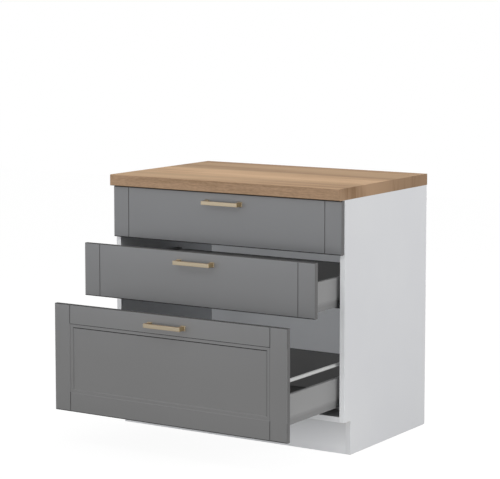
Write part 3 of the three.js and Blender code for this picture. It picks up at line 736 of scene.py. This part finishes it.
def make_front(label, framed):
    """Milled front: rounded outer edges, two joint grooves and, when framed, a bead and a sunk
    panel."""
    node = f"{label}_front"
    low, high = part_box(node)
    bm = bmesh.new()
    rim = milled_face(bm, low, high, framed)
    back = [bm.verts.new((v.co.x, high.y, v.co.z)) for v in rim]
    join_rings(bm, rim, back)
    bm.faces.new(back)
    foils = [GREY_FOIL, FRONT_BACKING, CREASE_FOIL_PAINTED_SHADE, EDGE_FOIL_PAINTED_SHADE, UNDER_FOIL_PAINTED_SHADE, BEAD_FOIL_PAINTED_LIGHT]
    piece = finish_piece(f"{node}_foil", bm, foils, f"{label}_drawer", node)
    color_foil(piece, low, high, framed)


def color_foil(piece, low, high, framed):
    """Lays the foil's painted shade and light on a front: the slopes of the profile get darker and
    lighter copies of the foil for how light falls on them. Later lines paint over earlier ones."""

    def on_long_edge(centre):
        return centre.z > high.z - FRONT_EDGE_RADIUS or centre.z < low.z + FRONT_EDGE_RADIUS

    def within_frame(centre):
        return low.z + STILE_WIDTH < centre.z < high.z - STILE_WIDTH

    color_faces(piece, CREASE_FOIL_PAINTED_SHADE,
                lambda centre, normal: normal.y > -FLAT and normal.z < LEANING)
    if framed:
        color_faces(piece, BEAD_FOIL_PAINTED_LIGHT, lambda centre, normal: within_frame(centre)
                    and (LEANING < normal.x < SQUARE or LEANING < normal.z < SQUARE))
        color_faces(piece, EDGE_FOIL_PAINTED_SHADE, lambda centre, normal: within_frame(centre)
                    and -SQUARE < normal.x < -LEANING)
    color_faces(piece, EDGE_FOIL_PAINTED_SHADE, lambda centre, normal: normal.y > -FLAT
                and normal.z > LEANING and on_long_edge(centre))
    color_faces(piece, UNDER_FOIL_PAINTED_SHADE, lambda centre, normal: normal.z < -TURNED)
    color_faces(piece, FRONT_BACKING, lambda centre, normal: normal.y > SQUARE)


# ---------------------------------------------------------------- handles


def make_handle(label):
    """Square bow handle: a flat bar on two legs, each on a chamfered square foot."""
    node = f"{label}_handle"
    low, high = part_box(node)
    centre_z = (low.z + high.z) / 2
    half = HANDLE_CENTRES / 2
    outer, inner = half + HANDLE_LEG / 2, half - HANDLE_LEG / 2
    foot_top = high.y - FOOT_THICKNESS
    bar_back = low.y + HANDLE_BAR_DEPTH
    bow = [(-outer, foot_top), (-outer, low.y), (outer, low.y), (outer, foot_top),
           (inner, foot_top), (inner, bar_back), (-inner, bar_back), (-inner, foot_top)]
    bm = bmesh.new()
    prism(bm, "z", [bow], centre_z - HANDLE_HEIGHT / 2, centre_z + HANDLE_HEIGHT / 2)
    for _, sign in HANDS:
        handle_foot(bm, sign * half, centre_z, foot_top, high.y)
    piece = finish_piece(f"{node}_brass", bm, [BRASS, BRASS_PAINTED_LIGHT, LEG_BRASS_PAINTED_LIGHT], f"{label}_drawer",
                         node, HANDLE_EDGE)
    # Painted light: lighter brass on the faces that turn away from the front, lightest on the leg
    # sides
    color_faces(piece, BRASS_PAINTED_LIGHT, lambda centre, normal: normal.y > -HALFWAY
                and centre.y < foot_top - FOOT_MARGIN)
    color_faces(piece, LEG_BRASS_PAINTED_LIGHT, lambda centre, normal: abs(normal.x) > SQUARE)


def handle_foot(bm, x, z, top, bottom):
    """A square plate whose outer edges are chamfered."""
    rings = []
    for y, inset in ((bottom, 0), (top + FOOT_CHAMFER, 0), (top, FOOT_CHAMFER)):
        w, h = FOOT_WIDTH / 2 - inset, FOOT_HEIGHT / 2 - inset
        rings.append([bm.verts.new((x + a * w, y, z + b * h))
                      for a, b in ((-1, -1), (1, -1), (1, 1), (-1, 1))])
    for first, second in zip(rings, rings[1:]):
        join_rings(bm, first, second)
    bm.faces.new(rings[0])
    bm.faces.new(rings[-1])


# ---------------------------------------------------------------- steel drawer sides


def side_loops(sign, inner_x, level):
    """Section of the folded steel side: outline and the closed cell above the runner's channel.
    u runs outwards from the side's inner face, v upwards from its lower edge."""
    w, r, s = SIDE_WIDTH, SIDE_TOP_RADIUS, SIDE_SHEET
    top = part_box("upper_side_left")[1].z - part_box("upper_side_left")[0].z
    skirt = w - JOGGLE_DEPTH
    outline = [(skirt, 0), (skirt, JOGGLE_HEIGHT - JOGGLE_DEPTH), (w, JOGGLE_HEIGHT)]
    outline += arc((w - r, top - r), r, 0, 90, SIDE_TOP_STEPS)
    outline += arc((r, top - r), r, 90, 180, SIDE_TOP_STEPS)
    outline += [(0, s), (-SHELF_WIDTH, s), (-SHELF_WIDTH, 0), (CHANNEL_WALL, 0),
                (CHANNEL_WALL, CHANNEL_HEIGHT), (skirt - CHANNEL_WALL, CHANNEL_HEIGHT),
                (skirt - CHANNEL_WALL, 0)]
    floor = CHANNEL_HEIGHT + CHANNEL_ROOF
    cell = [(s, floor), (s, top - r), (r, top - s), (w - r, top - s), (w - s, top - r),
            (w - s, floor)]
    return [[(inner_x + sign * u, level + v) for u, v in loop] for loop in (outline, cell)]


def make_steel_side(label, hand, sign):
    """The double-walled side, with the tab that the drawer's back board is screwed to."""
    node = f"{label}_side_{hand}"
    low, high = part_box(node)
    inner_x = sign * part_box(f"{label}_back")[1].x
    bm = bmesh.new()
    prism(bm, "y", side_loops(sign, inner_x, low.z), low.y, high.y)
    tab_x = sorted((inner_x - sign * REAR_TAB_WIDTH, inner_x + sign * SIDE_SHEET / 2))
    block(bm, (tab_x[0], high.y - REAR_TAB_SHEET, low.z + REAR_TAB_BOTTOM),
          (tab_x[1], high.y, low.z + REAR_TAB_TOP))
    finish_piece(f"{node}_steel", bm, [GREY_STEEL], f"{label}_drawer", node)


def make_end_cap(label, hand, sign):
    """Moulded cap on the front end of the cabinet runner: a thin sill under the drawer's side and
    a block that fills the gap between side and cabinet."""
    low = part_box(f"{label}_runner_cabinet_{hand}")[0]
    inner_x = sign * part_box(f"{label}_back")[1].x
    body_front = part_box("bottom_panel")[0].y
    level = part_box(f"{label}_side_{hand}")[0].z

    def at(u, v):
        return inner_x + sign * u, level + v

    runner_u = SIDE_WIDTH + RUNNER_GAP
    step_u = SIDE_WIDTH + END_CAP_CLEARANCE
    bottom_v = low.z - level
    plate = [at(CHANNEL_WALL, bottom_v), at(runner_u - END_CAP_CLEARANCE, bottom_v),
             at(runner_u - END_CAP_CLEARANCE, END_CAP_HEIGHT), at(step_u, END_CAP_HEIGHT),
             at(step_u, -END_CAP_CLEARANCE), at(CHANNEL_WALL, -END_CAP_CLEARANCE)]
    bm = bmesh.new()
    prism(bm, "y", [plate], body_front, low.y)
    finish_piece(f"{label}_runner_end_cap_{hand}", bm, [DARK_PLASTIC], "root", None,
                 END_CAP_ROUND)


# ---------------------------------------------------------------- gallery rails


def make_rail(label, hand):
    """White tube between a socket on the front and a post on the steel side."""
    body = f"{label}_drawer"
    node = f"{label}_rail_{hand}"
    low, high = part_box(node)
    radius = (high.z - low.z) / 2
    centre = ((low.x + high.x) / 2, (low.z + high.z) / 2)
    bm = bmesh.new()
    lathe(bm, centre, [(0, low.y), (radius, low.y), (radius, high.y), (0, high.y)], RAIL_SIDES)
    finish_piece(f"{node}_tube", bm, [WHITE_STEEL], body, node)


def make_drawer(label, framed):
    """One drawer: front, handle, steel sides with their runners' caps, bottom and back."""
    body = f"{label}_drawer"
    make_front(label, framed)
    make_handle(label)
    for hand, sign in HANDS:
        make_steel_side(label, hand, sign)
        make_end_cap(label, hand, sign)
    for board in ("bottom", "back"):
        box_piece(f"{label}_{board}_board", f"{label}_{board}", [GREY_BOARD],
                  body, bevel=DRAWER_BOARD_RADIUS)


# ---------------------------------------------------------------- pieces that keep the CAD shape

CAD_FINISHES = {
    "screw": ZINC, "front_bracket": ZINC, "runner": ZINC,
    "socket": DARK_PLASTIC, "post": DARK_PLASTIC,
}


def finish_cad_nodes():
    """Gives the carried-over nodes the finish of their real material."""
    for name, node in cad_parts.items():
        for word, material in CAD_FINISHES.items():
            if word in name:
                node.data.materials.clear()
                node.data.materials.append(material)


make_body()
make_worktop()
for drawer_label in LABELS:
    make_drawer(drawer_label, framed=drawer_label == "lower")
for rail_hand, _ in HANDS:
    make_rail("lower", rail_hand)
finish_cad_nodes()

# ---------------------------------------------------------------- floor, background and light

FLOOR_SIZE = 14
WHITE = (1, 1, 1, 1)

# Floor: its colour for the light that it throws back, and its colour and glow as it is seen
FLOOR_COLOR = "#A0A0A0"
FLOOR_SEEN_COLOR = "#707070"
FLOOR_SEEN_GLOW = 0.93

# Strength of the white surroundings as light
AMBIENT = 0.39

# Lamps: name, place, what they point at, width and height in metres, power in watts
LAMPS = (
    ("side_lamp", (3.6, 0.5, 1.4), (0.45, 0.25, 0.45), (1.6, 1.6), 55),
    ("low_front_lamp", (0.6, -3.0, 0.25), (0.2, 0, 0.1), (1.5, 0.3), 8),
    ("front_left_lamp", (-2.4, -4.0, 1.0), (0, 0, 0.4), (2.2, 2.2), 26),
    ("near_top_lamp", (0, -1.1, 1.5), (0, 0, 0.6), (1.8, 0.4), 2.9),
    ("worktop_lamp", (0, 0.2, 2.4), (0, 0.2, 0.87), (0.8, 0.5), 8),
    ("toe_lamp", (0.6, -0.34, 0.02), (0.35, 0, 0.01), (0.25, 0.03), 0.2),
)

# Even fill light, with angles in degrees
FILL_LEVEL = 0.235
FILL_AZIMUTH = -35
FILL_ANGLE = 20


def white_to_camera(tree):
    """1 for rays from the camera, off a mirror or through glass, 0 for rays that carry light."""
    path = add(tree, "ShaderNodeLightPath")
    seen = add(tree, "ShaderNodeMath", {0: path.outputs["Is Camera Ray"],
                                        1: path.outputs["Is Glossy Ray"]}, operation="MAXIMUM")
    return add(tree, "ShaderNodeMath", {0: seen.outputs[0],
                                        1: path.outputs["Is Transmission Ray"]},
               operation="MAXIMUM").outputs[0]


def make_floor():
    """Matt pale floor that shows white, with a faint shadow of the object."""
    bm = bmesh.new()
    half = FLOOR_SIZE / 2
    bm.faces.new([bm.verts.new((x, y, 0)) for x, y in
                  ((-half, -half), (half, -half), (half, half), (-half, half))])
    mesh = bpy.data.meshes.new("floor")
    bm.to_mesh(mesh)
    bm.free()
    floor = bpy.data.objects.new("floor", mesh)
    bpy.context.scene.collection.objects.link(floor)
    material = bpy.data.materials.new("pale_floor")
    material.use_nodes = True
    tree = material.node_tree
    tree.nodes.clear()
    plain = add(tree, "ShaderNodeBsdfDiffuse", {"Color": linear(FLOOR_COLOR)})
    pale = add(tree, "ShaderNodeBsdfDiffuse", {"Color": linear(FLOOR_SEEN_COLOR)})
    glow = add(tree, "ShaderNodeEmission", {"Color": WHITE, "Strength": FLOOR_SEEN_GLOW})
    shown = add(tree, "ShaderNodeAddShader", {0: pale.outputs[0], 1: glow.outputs[0]})
    mix = add(tree, "ShaderNodeMixShader", {0: white_to_camera(tree), 1: plain.outputs[0],
                                            2: shown.outputs[0]})
    add(tree, "ShaderNodeOutputMaterial", {"Surface": mix.outputs[0]})
    mesh.materials.append(material)


def make_world():
    """Even white surroundings: soft ambient light, and plain white where the camera sees them."""
    world = bpy.data.worlds.new("studio")
    bpy.context.scene.world = world
    world.use_nodes = True
    tree = world.node_tree
    background = tree.nodes["Background"]
    background.inputs["Color"].default_value = WHITE
    strength = add(tree, "ShaderNodeMapRange", {"Value": white_to_camera(tree),
                                                "To Min": AMBIENT, "To Max": 1.0})
    tree.links.new(strength.outputs["Result"], background.inputs["Strength"])


def make_lamp(name, place, target, size, power):
    """Rectangular area lamp that points at a target."""
    data = bpy.data.lights.new(name, "AREA")
    data.shape = "RECTANGLE"
    data.size, data.size_y = size
    data.energy = power
    lamp = bpy.data.objects.new(name, data)
    lamp.location = place
    direction = Vector(target) - Vector(place)
    lamp.rotation_euler = direction.to_track_quat("-Z", "Y").to_euler()
    bpy.context.scene.collection.objects.link(lamp)


def make_fill(level, azimuth):
    """Even light from the front that reaches the inside of the body too, because it casts no
    shadow: a level of 1 renders a white face that it meets squarely as white. Metal doesn't
    mirror it."""
    data = bpy.data.lights.new("even_fill", "SUN")
    data.energy = level * math.pi
    data.angle = math.radians(FILL_ANGLE)
    data.use_shadow = False
    lamp = bpy.data.objects.new("even_fill", data)
    lamp.visible_glossy = False
    lamp.rotation_euler = (math.radians(90), 0, math.radians(azimuth))
    bpy.context.scene.collection.objects.link(lamp)


make_floor()
make_world()
for lamp_settings in LAMPS:
    make_lamp(*lamp_settings)
make_fill(FILL_LEVEL, FILL_AZIMUTH)

bpy.context.scene.view_settings.view_transform = "Standard"
